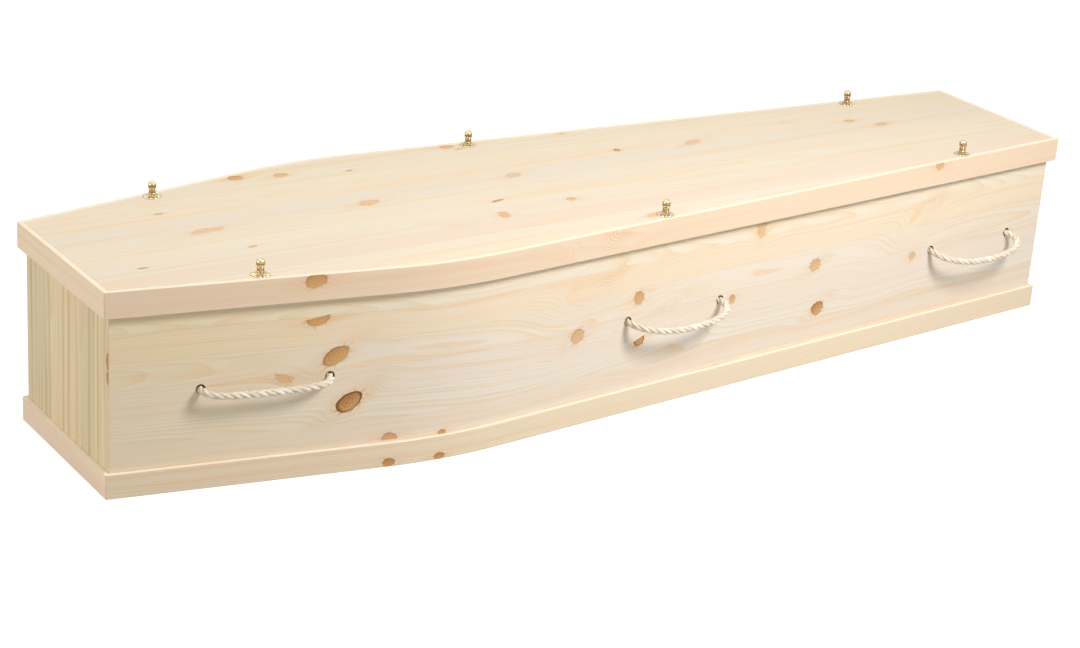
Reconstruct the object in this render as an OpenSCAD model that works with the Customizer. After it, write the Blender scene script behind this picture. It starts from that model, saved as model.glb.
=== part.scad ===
// A shouldered pine coffin with a lift-off lid, lid screws and rope handles.
// Millimetres. The origin is on the floor under the middle of the coffin.
// +X runs from the head end to the foot end, +Y is the left side, +Z is up.

/* [Body] */
// Length over the head and foot boards
body_length = 1976; // [1640:1:2400]
// Width over the side boards at the head end
head_width = 320; // [260:1:420]
// Width over the side boards at the shoulders, where their two straight runs would meet
shoulder_width = 528; // [430:1:680]
// Width over the side boards at the foot end
foot_width = 320; // [240:1:420]
// Distance from the head end to the shoulders
shoulder_from_head = 549; // [500:1:640]
// Radius of the bend at the shoulders, on the outside of the side boards
shoulder_radius = 830; // [300:1:1000]
// Height of the side, head and foot boards
wall_height = 332; // [260:1:420]

/* [Boards] */
// Thickness of the side boards
side_thickness = 18; // [15:0.5:24]
// Thickness of the head and foot boards
end_thickness = 18; // [12:0.5:24]
// Thickness of the base board
base_thickness = 18; // [12:0.5:24]
// Thickness of the lid board
lid_thickness = 18; // [12:0.5:24]

/* [Strips] */
// Height of the strip around the lid
lid_strip_height = 44; // [34:0.5:60]
// Thickness of the strip around the lid
lid_strip_thickness = 10; // [6:0.5:16]
// Gap between the lid strip and the body that it hangs over
lid_gap = 2; // [1:0.5:4]
// Height of the strip around the base
base_strip_height = 42; // [25:0.5:60]
// Thickness of the strip around the base
base_strip_thickness = 8; // [5:0.5:14]

/* [Rope handles] */
// Diameter of the rope
rope_diameter = 12; // [10:0.5:13]
// Diameter of the holes that the rope goes through
rope_hole_diameter = 15; // [14:0.5:20]
// Distance between the two holes of a handle
handle_span = 212; // [205:1:220]
// Height of the holes above the floor
handle_height = 170; // [110:1:220]
// Middle of the head handle, from the head end
head_handle_from_head = 247; // [190:1:300]
// Middle of the middle handle, from the middle of the coffin
middle_handle_x = 46; // [-40:1:200]
// Middle of the foot handle, from the foot end
foot_handle_from_foot = 196; // [170:1:400]
// Diameter of the stopper knots inside the walls
knot_diameter = 30; // [24:0.5:40]
// Length of the stopper knots
knot_length = 22; // [16:0.5:30]

/* [Lid screws] */
// Distance of the two head screws from the head end
head_screw_from_head = 238; // [150:1:300]
// Middle screw of the right side, from the middle of the coffin
right_middle_screw_x = 12; // [-150:1:200]
// Middle screw of the left side, from the middle of the coffin
left_middle_screw_x = -105; // [-150:1:200]
// Distance of the two foot screws from the foot end
foot_screw_from_foot = 241; // [150:1:400]
// Diameter of the screw's shank
shank_diameter = 5; // [4:0.1:6]
// Depth of the screw's shank in the side board
shank_depth = 30; // [15:0.5:60]
// Diameter of the screw's ball
ball_diameter = 14.4; // [12:0.1:20]
// Diameter of the screw's stem
stem_diameter = 12; // [9:0.1:13]
// Height of the screw's stem
stem_height = 9.5; // [6:0.1:14]
// Diameter of the rosette under the screw
rose_diameter = 31; // [26:0.5:40]
// Height of the rosette
rose_height = 5; // [3:0.1:8]
// Number of petals around the rosette
petals = 12; // [8:1:16]

/* [Hidden] */
BEND_STEPS = 12;
ROPE_SIDES = 10;
round_steps = 48;
seat_gap = 0.3;
thread_gap = 0.1;
lid_hole_gap = 0.5;

ends_x = body_length / 2;
half_head = head_width / 2;
half_foot = foot_width / 2;
half_shoulder = shoulder_width / 2;
shoulder_x = shoulder_from_head - ends_x;
head_handle_x = head_handle_from_head - ends_x;
foot_handle_x = ends_x - foot_handle_from_foot;
head_screw_x = head_screw_from_head - ends_x;
foot_screw_x = ends_x - foot_screw_from_foot;
head_angle = atan2(half_shoulder - half_head, shoulder_from_head);
foot_angle = atan2(half_foot - half_shoulder, ends_x - shoulder_x);
half_bend = (head_angle - foot_angle) / 2;
mid_angle = (head_angle + foot_angle) / 2;
bend_back = shoulder_radius / cos(half_bend);
bend_centre = [shoulder_x + bend_back * sin(mid_angle), half_shoulder - bend_back * cos(mid_angle)];

lid_bottom = wall_height;
lid_top = wall_height + lid_thickness;
lid_reach = lid_gap + lid_strip_thickness;
rose_top = lid_top + rose_height;
rose_bore = shank_diameter + 2 * lid_hole_gap;
rope_z = handle_height - (rope_hole_diameter - rope_diameter) / 2 + seat_gap;
inner_face = -side_thickness - seat_gap;

// Each handle's rope runs from knot to knot. A row is [along the side, out from it, up],
// and the last row's length along the side is half of the span.
HALF = handle_span / 2;
head_rope = [
    [-HALF, 0, 0], [-103, 12, 0], [-95, 21, -1], [-78, 27, -2], [-40, 28, -4], [0, 27, -5],
    [40, 26, -5], [78, 24, -3], [95, 19, -2], [103, 11, -1], [HALF, 0, 0]];
middle_rope = [
    [-HALF, 0, 0], [-105, 14, -1], [-97, 29, -3], [-79, 40, -7], [-44, 47, -12], [0, 49, -14],
    [44, 47, -13], [79, 41, -9], [98, 29, -5], [106, 14, -2], [HALF, 0, 0]];
foot_rope = [
    [-HALF, 0, 0], [-106, 15, -2], [-99, 31, -6], [-81, 43, -11], [-44, 51, -17], [0, 54, -19],
    [46, 53, -17], [84, 47, -13], [104, 33, -8], [110, 16, -3], [HALF, 0, 0]];

// Half width at x on the straight run by the head or the foot, moved out by `out`.
function head_run_y(out, x) = half_head + (out + (x + ends_x) * sin(head_angle)) / cos(head_angle);
function foot_run_y(out, x) = half_foot + (out + (x - ends_x) * sin(foot_angle)) / cos(foot_angle);
function half_width(out, x) = x < shoulder_x ? head_run_y(out, x) : foot_run_y(out, x);
function run_angle(x) = x < shoulder_x ? head_angle : foot_angle;

// The left side's line from x0 to x1, moved out by `out`, with its bend at the shoulder.
function side_line(out, x0, x1) = concat(
    [[x0, head_run_y(out, x0)]],
    [for (i = [0:BEND_STEPS])
        let (a = head_angle + (foot_angle - head_angle) * i / BEND_STEPS)
        bend_centre + (shoulder_radius + out) * [-sin(a), cos(a)]],
    [[x1, foot_run_y(out, x1)]]);
function backwards(points) = [for (i = [len(points) - 1:-1:0]) points[i]];
function other_side(points) = [for (p = points) [p[0], -p[1]]];

// Outline of a whole board, moved out by `out` at the sides, from x0 to x1.
module plan(out, x0, x1) {
    line = side_line(out, x0, x1);
    polygon(concat(line, backwards(other_side(line))));
}

// A strip or board along the left side, between two distances out from the body.
module side_band(inner, outer, inner_end, outer_end) {
    polygon(concat(
        side_line(outer, -outer_end, outer_end),
        backwards(side_line(inner, -inner_end, inner_end))));
}

// A strip or board across an end, with its ends cut to meet the sides. end is -1 or 1.
module end_band(end, inner, outer, side_inner, side_outer) {
    yi = half_width(side_inner, end * inner);
    yo = half_width(side_outer, end * outer);
    polygon([[end * inner, -yi], [end * outer, -yo], [end * outer, yo], [end * inner, yi]]);
}

// Moves its children to the left side's outer face at x: X along the side, Y out from it.
module at_side(x, z) {
    translate([x, half_width(0, x), z]) rotate([0, 0, run_angle(x)]) children();
}

// Places left side pieces as drawn and right side pieces mirrored. side is 1 or -1.
module on_side(side) {
    if (side > 0) children();
    else mirror([0, 1, 0]) children();
}

module base_board() {
    color("burlywood") linear_extrude(base_thickness)
        plan(-side_thickness, -ends_x + end_thickness, ends_x - end_thickness);
}

module side_board(screw_xs) {
    color("wheat") difference() {
        linear_extrude(wall_height)
            side_band(-side_thickness, 0, ends_x - end_thickness, ends_x);
        for (x = [head_handle_x, middle_handle_x, foot_handle_x], end = [-1, 1])
            at_side(x, handle_height) translate([end * HALF, 0, 0]) rotate([90, 0, 0])
                cylinder(d = rope_hole_diameter, h = 4 * side_thickness, center = true, $fn = round_steps);
        for (x = screw_xs)
            translate([x, half_width(-side_thickness / 2, x), wall_height - shank_depth - seat_gap])
                cylinder(d = shank_diameter + 2 * thread_gap, h = 2 * shank_depth, $fn = round_steps);
    }
}

module end_board(end) {
    color("tan") linear_extrude(wall_height)
        end_band(end, ends_x - end_thickness, ends_x, -side_thickness, 0);
}

module lid_board() {
    color("blanchedalmond") difference() {
        translate([0, 0, lid_bottom]) linear_extrude(lid_thickness)
            plan(lid_gap, -ends_x - lid_gap, ends_x + lid_gap);
        for (side = [-1, 1], x = screw_places(side))
            translate([x, side * half_width(-side_thickness / 2, x), lid_bottom - lid_thickness])
                cylinder(d = rose_bore, h = 3 * lid_thickness, $fn = round_steps);
    }
}

function screw_places(side) = [head_screw_x, side > 0 ? left_middle_screw_x : right_middle_screw_x, foot_screw_x];

module lid_side_strip() {
    color("wheat") translate([0, 0, lid_top - lid_strip_height]) linear_extrude(lid_strip_height)
        side_band(lid_gap, lid_reach, ends_x + lid_gap, ends_x + lid_reach);
}

module lid_end_strip(end) {
    color("peachpuff") translate([0, 0, lid_top - lid_strip_height]) linear_extrude(lid_strip_height)
        end_band(end, ends_x + lid_gap, ends_x + lid_reach, lid_gap, lid_reach);
}

module base_side_strip() {
    color("wheat") linear_extrude(base_strip_height)
        side_band(0, base_strip_thickness, ends_x, ends_x + base_strip_thickness);
}

module base_end_strip(end) {
    color("peachpuff") linear_extrude(base_strip_height)
        end_band(end, ends_x, ends_x + base_strip_thickness, 0, base_strip_thickness);
}

// A brass screw: shank, stem, groove, bead and ball, turned in one piece.
module lid_screw(side, x) {
    stem = stem_diameter / 2;
    ball = ball_diameter / 2;
    neck = stem - 1.5;
    bead_z = stem_height + 2;
    color("goldenrod") translate([x, side * half_width(-side_thickness / 2, x), rose_top]) {
        translate([0, 0, -rose_height - lid_thickness - shank_depth])
            cylinder(d = shank_diameter, h = rose_height + lid_thickness + shank_depth + 1, $fn = round_steps);
        rotate_extrude($fn = round_steps) polygon([
            [0, 0], [stem, 0], [stem + 0.5, 0.8], [stem, 1.8], [stem, stem_height - 0.8],
            [neck, stem_height], [neck, stem_height + 0.7], [ball, bead_z - 0.6], [ball + 0.6, bead_z],
            [ball, bead_z + 0.8], [0, bead_z + 1.6]]);
        translate([0, 0, bead_z + ball * 0.6]) sphere(d = ball_diameter, $fn = round_steps);
    }
}

// A pressed brass rosette, flared and cut into petals round its rim.
module rose(side, x) {
    rim = rose_diameter / 2;
    crown = stem_diameter / 2 + 0.8;
    notch = rim * sin(180 / petals) * 0.42;
    color("gold") translate([x, side * half_width(-side_thickness / 2, x), lid_top]) difference() {
        rotate_extrude($fn = round_steps) polygon([
            [rose_bore / 2, 0], [rim, 0], [rim, 0.9], [rim - 2.5, 1.5], [rim - 5.5, rose_height * 0.5],
            [crown, rose_height], [rose_bore / 2, rose_height]]);
        for (i = [0:petals - 1]) rotate([0, 0, (i + 0.5) * 360 / petals])
            translate([rim + notch * 0.35, 0, -1]) cylinder(r = notch, h = rose_height + 2, $fn = 24);
    }
}

// Points of a ring round point i of a path, square to its direction.
function ring(path, i, r) =
    let (
        a = path[max(i - 1, 0)],
        b = path[min(i + 1, len(path) - 1)],
        along = (b - a) / norm(b - a),
        flat = cross(along, [0, 0, 1]),
        across = flat / norm(flat),
        up = cross(across, along))
    [for (s = [0:ROPE_SIDES - 1]) path[i] + r * (cos(s * 360 / ROPE_SIDES) * across + sin(s * 360 / ROPE_SIDES) * up)];

module tube(path, r) {
    n = len(path);
    last = (n - 1) * ROPE_SIDES;
    points = [for (i = [0:n - 1]) each ring(path, i, r)];
    walls = [for (i = [0:n - 2], s = [0:ROPE_SIDES - 1])
        let (t = (s + 1) % ROPE_SIDES, o = i * ROPE_SIDES)
        each [[o + s, o + t, o + ROPE_SIDES + t], [o + s, o + ROPE_SIDES + t, o + ROPE_SIDES + s]]];
    near_cap = [for (s = [ROPE_SIDES - 1:-1:0]) s];
    far_cap = [for (s = [0:ROPE_SIDES - 1]) last + s];
    polyhedron(points = points, faces = concat([near_cap], walls, [far_cap]));
}

module rope(side, x, route) {
    n = len(route);
    path = concat([[-HALF, inner_face, 0]], route, [[HALF, inner_face, 0]]);
    color("ivory") on_side(side) at_side(x, rope_z) tube(path, rope_diameter / 2);
}

// The rope's stopper knot, bearing on the inside of the wall. end is -1 or 1.
module knot(side, x, end) {
    r = knot_diameter / 2;
    bulge = knot_length / 2;
    color("ivory") on_side(side) at_side(x, rope_z) translate([end * HALF, inner_face, 0]) rotate([90, 0, 0])
        rotate_extrude($fn = round_steps) polygon([
            [0, 0], [r * 0.7, 0], [r * 0.93, bulge * 0.35], [r, bulge], [r * 0.93, bulge * 1.65],
            [r * 0.7, knot_length], [0, knot_length]]);
}

base_board();
side_board(screw_places(1));  // left_side
mirror([0, 1, 0]) side_board(screw_places(-1));  // right_side
end_board(-1);  // head_board
end_board(1);  // foot_board
lid_board();
lid_side_strip();  // lid_strip_left
mirror([0, 1, 0]) lid_side_strip();  // lid_strip_right
lid_end_strip(-1);  // lid_strip_head
lid_end_strip(1);  // lid_strip_foot
base_side_strip();  // base_strip_left
mirror([0, 1, 0]) base_side_strip();  // base_strip_right
base_end_strip(-1);  // base_strip_head
base_end_strip(1);  // base_strip_foot
lid_screw(1, head_screw_x);  // left_head_screw
lid_screw(1, left_middle_screw_x);  // left_middle_screw
lid_screw(1, foot_screw_x);  // left_foot_screw
lid_screw(-1, head_screw_x);  // right_head_screw
lid_screw(-1, right_middle_screw_x);  // right_middle_screw
lid_screw(-1, foot_screw_x);  // right_foot_screw
rose(1, head_screw_x);  // left_head_rose
rose(1, left_middle_screw_x);  // left_middle_rose
rose(1, foot_screw_x);  // left_foot_rose
rose(-1, head_screw_x);  // right_head_rose
rose(-1, right_middle_screw_x);  // right_middle_rose
rose(-1, foot_screw_x);  // right_foot_rose
rope(1, head_handle_x, head_rope);  // left_head_rope
rope(1, middle_handle_x, middle_rope);  // left_middle_rope
rope(1, foot_handle_x, foot_rope);  // left_foot_rope
rope(-1, head_handle_x, head_rope);  // right_head_rope
rope(-1, middle_handle_x, middle_rope);  // right_middle_rope
rope(-1, foot_handle_x, foot_rope);  // right_foot_rope
knot(1, head_handle_x, -1);  // left_head_knot_a
knot(1, head_handle_x, 1);  // left_head_knot_b
knot(1, middle_handle_x, -1);  // left_middle_knot_a
knot(1, middle_handle_x, 1);  // left_middle_knot_b
knot(1, foot_handle_x, -1);  // left_foot_knot_a
knot(1, foot_handle_x, 1);  // left_foot_knot_b
knot(-1, head_handle_x, -1);  // right_head_knot_a
knot(-1, head_handle_x, 1);  // right_head_knot_b
knot(-1, middle_handle_x, -1);  // right_middle_knot_a
knot(-1, middle_handle_x, 1);  // right_middle_knot_b
knot(-1, foot_handle_x, -1);  // right_foot_knot_a
knot(-1, foot_handle_x, 1);  // right_foot_knot_b
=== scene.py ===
"""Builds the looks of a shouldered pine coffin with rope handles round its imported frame."""

import math
import random
from collections import namedtuple

import bmesh
import bpy
import numpy as np
from bpy.props import FloatProperty, FloatVectorProperty, IntProperty, PointerProperty
from mathutils import Matrix, Vector
from mathutils.geometry import delaunay_2d_cdt
from mathutils.noise import noise


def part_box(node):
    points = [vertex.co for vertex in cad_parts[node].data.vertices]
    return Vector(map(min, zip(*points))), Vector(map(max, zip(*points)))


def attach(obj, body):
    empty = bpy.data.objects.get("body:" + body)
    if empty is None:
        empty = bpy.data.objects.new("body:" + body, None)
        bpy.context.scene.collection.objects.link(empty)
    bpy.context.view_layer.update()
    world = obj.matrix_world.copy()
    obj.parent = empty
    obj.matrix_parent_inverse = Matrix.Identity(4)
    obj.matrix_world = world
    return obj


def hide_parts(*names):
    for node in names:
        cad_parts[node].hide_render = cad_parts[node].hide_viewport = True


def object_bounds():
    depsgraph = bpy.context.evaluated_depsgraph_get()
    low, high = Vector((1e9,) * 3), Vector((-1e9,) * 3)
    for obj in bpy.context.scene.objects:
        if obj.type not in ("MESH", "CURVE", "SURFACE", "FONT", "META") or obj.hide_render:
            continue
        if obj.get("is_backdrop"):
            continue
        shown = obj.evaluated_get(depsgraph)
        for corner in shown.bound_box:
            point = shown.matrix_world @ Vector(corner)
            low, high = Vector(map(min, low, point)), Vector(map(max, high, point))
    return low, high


bl_info = {
    "name": "Pine coffin",
    "version": (1, 0, 0),
    "blender": (4, 5, 0),
    "location": "3D View > Sidebar > Coffin",
    "description": "Builds a shouldered pine coffin with rope handles and brass lid screws",
    "category": "Object",
}

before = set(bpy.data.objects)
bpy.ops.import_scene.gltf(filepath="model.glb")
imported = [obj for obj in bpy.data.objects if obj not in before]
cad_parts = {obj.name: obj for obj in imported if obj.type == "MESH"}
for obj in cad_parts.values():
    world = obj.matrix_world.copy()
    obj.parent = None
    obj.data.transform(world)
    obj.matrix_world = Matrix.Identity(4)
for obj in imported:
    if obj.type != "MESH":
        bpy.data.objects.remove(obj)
CAD_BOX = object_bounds()
BODY = "root"

SIDES = {"left": 1, "right": -1}
ENDS = {"head": -1, "foot": 1}
ENDS_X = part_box("foot_board")[1].x
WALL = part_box("foot_board")[1].z
LID_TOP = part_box("lid_board")[1].z
END_INNER_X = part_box("foot_board")[0].x
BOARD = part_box("base_board")[1].z
LID_STRIP_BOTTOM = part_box("lid_strip_foot")[0].z
LID_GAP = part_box("lid_strip_foot")[0].x - ENDS_X
LID_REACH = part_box("lid_strip_foot")[1].x - ENDS_X
BASE_STRIP_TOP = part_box("base_strip_foot")[1].z
BASE_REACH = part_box("base_strip_foot")[1].x - ENDS_X

HANDLES = ("head", "middle", "foot")
MM = 0.001

# Boards: rounding of their edges and holes, and how near an end a point moves with its mitre.
ARRIS_STEPS = 3
HOLE_ARRIS = 0.0012
LID_HOLE_ARRIS = 0.0004
LID_HOLE_RADIUS = 0.003
MITRE_REACH = 0.004

# Ropes: the step along one, where it ends inside the wall in millimetres out from the side, its
# strands, each strand's radius as a share of the rope's diameter, and its hairs and stopper knots.
ROPE_STEP = 0.0016
ROPE_END = -18.3
STRANDS = 3
STRAND_SHARE = 0.252
HAIR_RADIUS = 0.00011
STOPPER_LENGTH = 0.022

# Stage: how far the floor reaches and how far below the coffin it lies, how bright the floor looks,
# and how strongly the surroundings light the coffin.
FLOOR_REACH = 60.0
FLOOR_GAP = 0.0005
FLOOR_GLOW = 0.81
ROOM_LIGHT = 0.40

SLOT_COLOURS = {
    "lid_pine": (0.895, 0.860, 0.822),
    "side_pine": (0.918, 0.888, 0.853),
    "end_pine": (0.895, 0.830, 0.700),
    "long_strip_pine": (0.920, 0.862, 0.790),
    "end_strip_pine": (0.975, 0.888, 0.808),
    "inner_pine": (0.900, 0.845, 0.745),
    "brass": (0.855, 0.765, 0.580),
    "rope": (0.905, 0.855, 0.775),
}

# Each handle's rope runs from knot to knot. A row is along the side, out from it and up, in millimetres.
ROUTES = {
    "head": (
        (-106, 0, 0), (-103, 12, 0), (-95, 21, -1), (-78, 27, -2), (-40, 28, -4), (0, 27, -5),
        (40, 26, -5), (78, 24, -3), (95, 19, -2), (103, 11, -1), (106, 0, 0),
    ),
    "middle": (
        (-106, 0, 0), (-105, 14, -1), (-97, 29, -3), (-79, 40, -7), (-44, 47, -12), (0, 49, -14),
        (44, 47, -13), (79, 41, -9), (98, 29, -5), (106, 14, -2), (106, 0, 0),
    ),
    "foot": (
        (-106, 0, 0), (-106, 15, -2), (-99, 31, -6), (-81, 43, -11), (-44, 51, -17), (0, 54, -19),
        (46, 53, -17), (84, 47, -13), (104, 33, -8), (110, 16, -3), (106, 0, 0),
    ),
}

# A knot in the wood: its place along and across the board, its size, its turn in degrees, how dark
# it is, and how far below and above its middle it shows, in half heights. Lengths in millimetres.
# WHOLE is far enough to show all of it.
WHOLE = 9.0
Knot = namedtuple("Knot", "along across length height tilt dark low high", defaults=(0, 1.0, -WHOLE, WHOLE))

SIDE_KNOTS = (
    Knot(-628, 204, 46, 26, 32, 0.95), Knot(-603, 121, 44, 27, 32, 1.6),
    Knot(-711, 181, 30, 22, -8, 0.5, high=0.1), Knot(-659, 272, 36, 26, 10, 0.95, high=0.1),
    Knot(-533, 47, 26, 20, 0, 0.8, low=-0.2), Knot(-440, 44, 14, 10, 10, 0.9),
    Knot(-169, 164, 28, 24, 25, 0.7), Knot(-38, 209, 20, 25, 15, 0.8), Knot(182, 165, 14, 16, 10, 0.8),
    Knot(-31, 131, 22, 24, 20, 1.5, high=0.1), Knot(381, 194, 26, 22, 25, 0.7),
    Knot(399, 106, 28, 24, 30, 1.1), Knot(237, 292, 20, 40, 5, 0.5, high=0.4),
    Knot(637, 166, 16, 16, 10, 0.6), Knot(686, 268, 96, 56, 35, 0.24),
    Knot(-100, 274, 110, 80, 25, 0.22, high=0.0), Knot(30, 186, 110, 34, 12, 0.22),
    Knot(60, 98, 70, 30, 15, 0.18), Knot(-760, 205, 160, 20, 2, 0.12),
)
LID_KNOTS = (
    Knot(-579, 227, 26, 22, 0, 0.85), Knot(-499, 211, 26, 18, 6, 0.65), Knot(-427, 28, 38, 22, 10, 0.5),
    Knot(-738, 12, 62, 18, 6, 0.42), Knot(-903, -99, 18, 6, 0, 0.9), Knot(-118, 55, 30, 20, 12, 0.42),
    Knot(-147, 235, 26, 20, 0, 0.65), Knot(-131, 222, 18, 12, 0, 0.5), Knot(138, 101, 12, 14),
    Knot(302, 86, 40, 18, 20, 0.45), Knot(-94, -91, 20, 14, 0, 0.6), Knot(677, 76, 22, 16, 0, 0.55),
    Knot(725, 36, 28, 16, 10, 0.5), Knot(-3, -215, 40, 16, 12, 0.5), Knot(420, -60, 110, 30, 8, 0.2),
    Knot(-330, -120, 120, 34, 6, 0.2), Knot(560, 120, 90, 26, 6, 0.2), Knot(-776, 114, 16, 8, 0, 0.7),
    Knot(-704, -81, 16, 6, 5, 0.8), Knot(-377, 187, 14, 6, 5, 0.8), Knot(-219, -51, 24, 7, 12, 1.2),
    Knot(-245, -119, 18, 8, 5, 0.6), Knot(96, 228, 22, 16, 0, 0.55),
)
LID_STRIP_KNOTS = (
    Knot(-668, 340, 34, 22, 8, 0.9), Knot(668, 346, 20, 18, 0, 0.7), Knot(-105, 348, 110, 80, 25, 0.24),
)
BASE_STRIP_KNOTS = (Knot(-535, 8, 20, 14), Knot(-447, 6, 18, 12))
HEAD_KNOTS = (Knot(231, -160, 28, 16), Knot(202, -162, 22, 13))


def measure(label, description, default):
    return FloatProperty(name=label, description=description, default=default, unit="LENGTH")


class CoffinSizes(bpy.types.PropertyGroup):
    """Sizes of the coffin's plan, edges, holes and rope."""

    head_width: measure("Head width", "Width of the body at the head end", 0.320)
    shoulder_width: measure("Shoulder width", "Width where the side lines would cross", 0.528)
    foot_width: measure("Foot width", "Width of the body at the foot end", 0.320)
    shoulder_from_head: measure("Shoulder place", "Shoulder's distance from the head end", 0.549)
    shoulder_radius: measure("Shoulder radius", "Radius of the side's bend", 0.830)
    arris: measure("Arris", "Rounding of the outer edges", 0.0010)
    joint_arris: measure("Joint arris", "Rounding of edges that meet at a joint", 0.0004)
    hole_diameter: measure("Rope hole", "Diameter of the rope holes", 0.015)
    handle_height: measure("Handle height", "Height of the rope holes", 0.170)
    rope_height: measure("Rope height", "Height of the rope in its holes", 0.1688)
    rope_diameter: measure("Rope", "Diameter of the rope", 0.012)
    rope_lay: measure("Rope lay", "Length of one turn of a strand", 0.042)
    hairs: IntProperty(name="Hairs", description="Loose fibres on each rope", default=420)


def colour(slot, label):
    return FloatVectorProperty(
        name=label, description=f"Colour of the {label.lower()}", default=SLOT_COLOURS[slot], size=3,
        subtype="COLOR", min=0.0, max=1.0)


class CoffinColours(bpy.types.PropertyGroup):
    """Colours of the coffin's woods, brass and rope."""

    lid_pine: colour("lid_pine", "Lid board")
    side_pine: colour("side_pine", "Side boards")
    end_pine: colour("end_pine", "End boards")
    long_strip_pine: colour("long_strip_pine", "Long strips")
    end_strip_pine: colour("end_strip_pine", "End strips")
    inner_pine: colour("inner_pine", "Base board")
    brass: colour("brass", "Brass")
    rope: colour("rope", "Rope")


def sizes():
    return bpy.context.scene.coffin_sizes


def colours():
    return bpy.context.scene.coffin_colours


# ---------------------------------------------------------------- plan line


class Plan:
    """The side's plan line: a straight run from the head, a round shoulder and a run to the foot."""

    def __init__(self):
        s = sizes()
        half_head, half_foot, half_shoulder = s.head_width / 2, s.foot_width / 2, s.shoulder_width / 2
        shoulder_x = s.shoulder_from_head - ENDS_X
        self.head_angle = math.atan2(half_shoulder - half_head, s.shoulder_from_head)
        self.foot_angle = math.atan2(half_foot - half_shoulder, ENDS_X - shoulder_x)
        middle = (self.head_angle + self.foot_angle) / 2
        back = s.shoulder_radius / math.cos((self.head_angle - self.foot_angle) / 2)
        self.radius = s.shoulder_radius
        self.bend = self.radius * (self.head_angle - self.foot_angle)
        self.centre = Vector((
            shoulder_x + back * math.sin(middle), half_shoulder - back * math.cos(middle)))
        self.shoulder_x = shoulder_x

    def normal(self, along):
        turned = min(max(along, 0.0), self.bend) / self.radius
        angle = self.head_angle - turned
        return Vector((-math.sin(angle), math.cos(angle)))

    def point(self, along, out):
        """The point that far along the line, which is measured from where the bend starts."""
        n = self.normal(along)
        run = min(along, 0.0) + max(along - self.bend, 0.0)
        return self.centre + n * (self.radius + out) + Vector((n.y, -n.x)) * run

    def along(self, x, out=0.0):
        """How far along the line a straight run reaches x."""
        if x < self.shoulder_x:
            return (x - self.point(0.0, out).x) / math.cos(self.head_angle)
        return self.bend + (x - self.point(self.bend, out).x) / math.cos(self.foot_angle)

    def half_width(self, out, x):
        return self.point(self.along(x, out), out).y

    def bend_steps(self, count=24):
        return [self.bend * i / count for i in range(count + 1)]


# ---------------------------------------------------------------- mesh helpers


def inset(points, distance):
    """A closed counter-clockwise outline, moved in by a distance."""
    moved = []
    for i, point in enumerate(points):
        before = (point - points[i - 1]).normalized()
        after = (points[(i + 1) % len(points)] - point).normalized()
        n1, n2 = Vector((-before.y, before.x)), Vector((-after.y, after.x))
        moved.append(point + (n1 + n2) * distance / (1 + n1.dot(n2)))
    return moved


def circle(centre, radius, count=40):
    turns = [math.tau * i / count for i in range(count)]
    return [centre + Vector((math.cos(t), math.sin(t))) * radius for t in turns]


def edge_profile(arris, thickness):
    """Pairs of inset and depth that go round both edges of a board."""
    front = []
    for i in range(ARRIS_STEPS + 1):
        turn = math.pi / 2 * i / ARRIS_STEPS
        front.append((arris * (1 - math.sin(turn)), arris * (1 - math.cos(turn))))
    return front + [(step, thickness - depth) for step, depth in reversed(front)]


def bands(rings):
    """Faces between each ring of vertex numbers and the next."""
    faces = []
    for lower, upper in zip(rings, rings[1:]):
        for i in range(len(lower)):
            j = (i + 1) % len(lower)
            faces.append((lower[i], lower[j], upper[j], upper[i]))
    return faces


def tube_faces(count, sides, start=0, closed=False):
    """Faces of a tube of so many rings, which closes on itself or has a flat cap at each end."""
    rings = [list(range(start + k * sides, start + (k + 1) * sides)) for k in range(count)]
    if closed:
        return bands(rings + rings[:1])
    return bands(rings) + [rings[0][::-1], rings[-1]]


def new_mesh(name, vertices, faces):
    mesh = bpy.data.meshes.new(name)
    mesh.from_pydata(vertices, [], faces)
    return mesh


def new_object(name, data):
    """An object in the scene, round a mesh, a camera or a lamp."""
    made = bpy.data.objects.new(name, data)
    bpy.context.scene.collection.objects.link(made)
    return made


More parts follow.
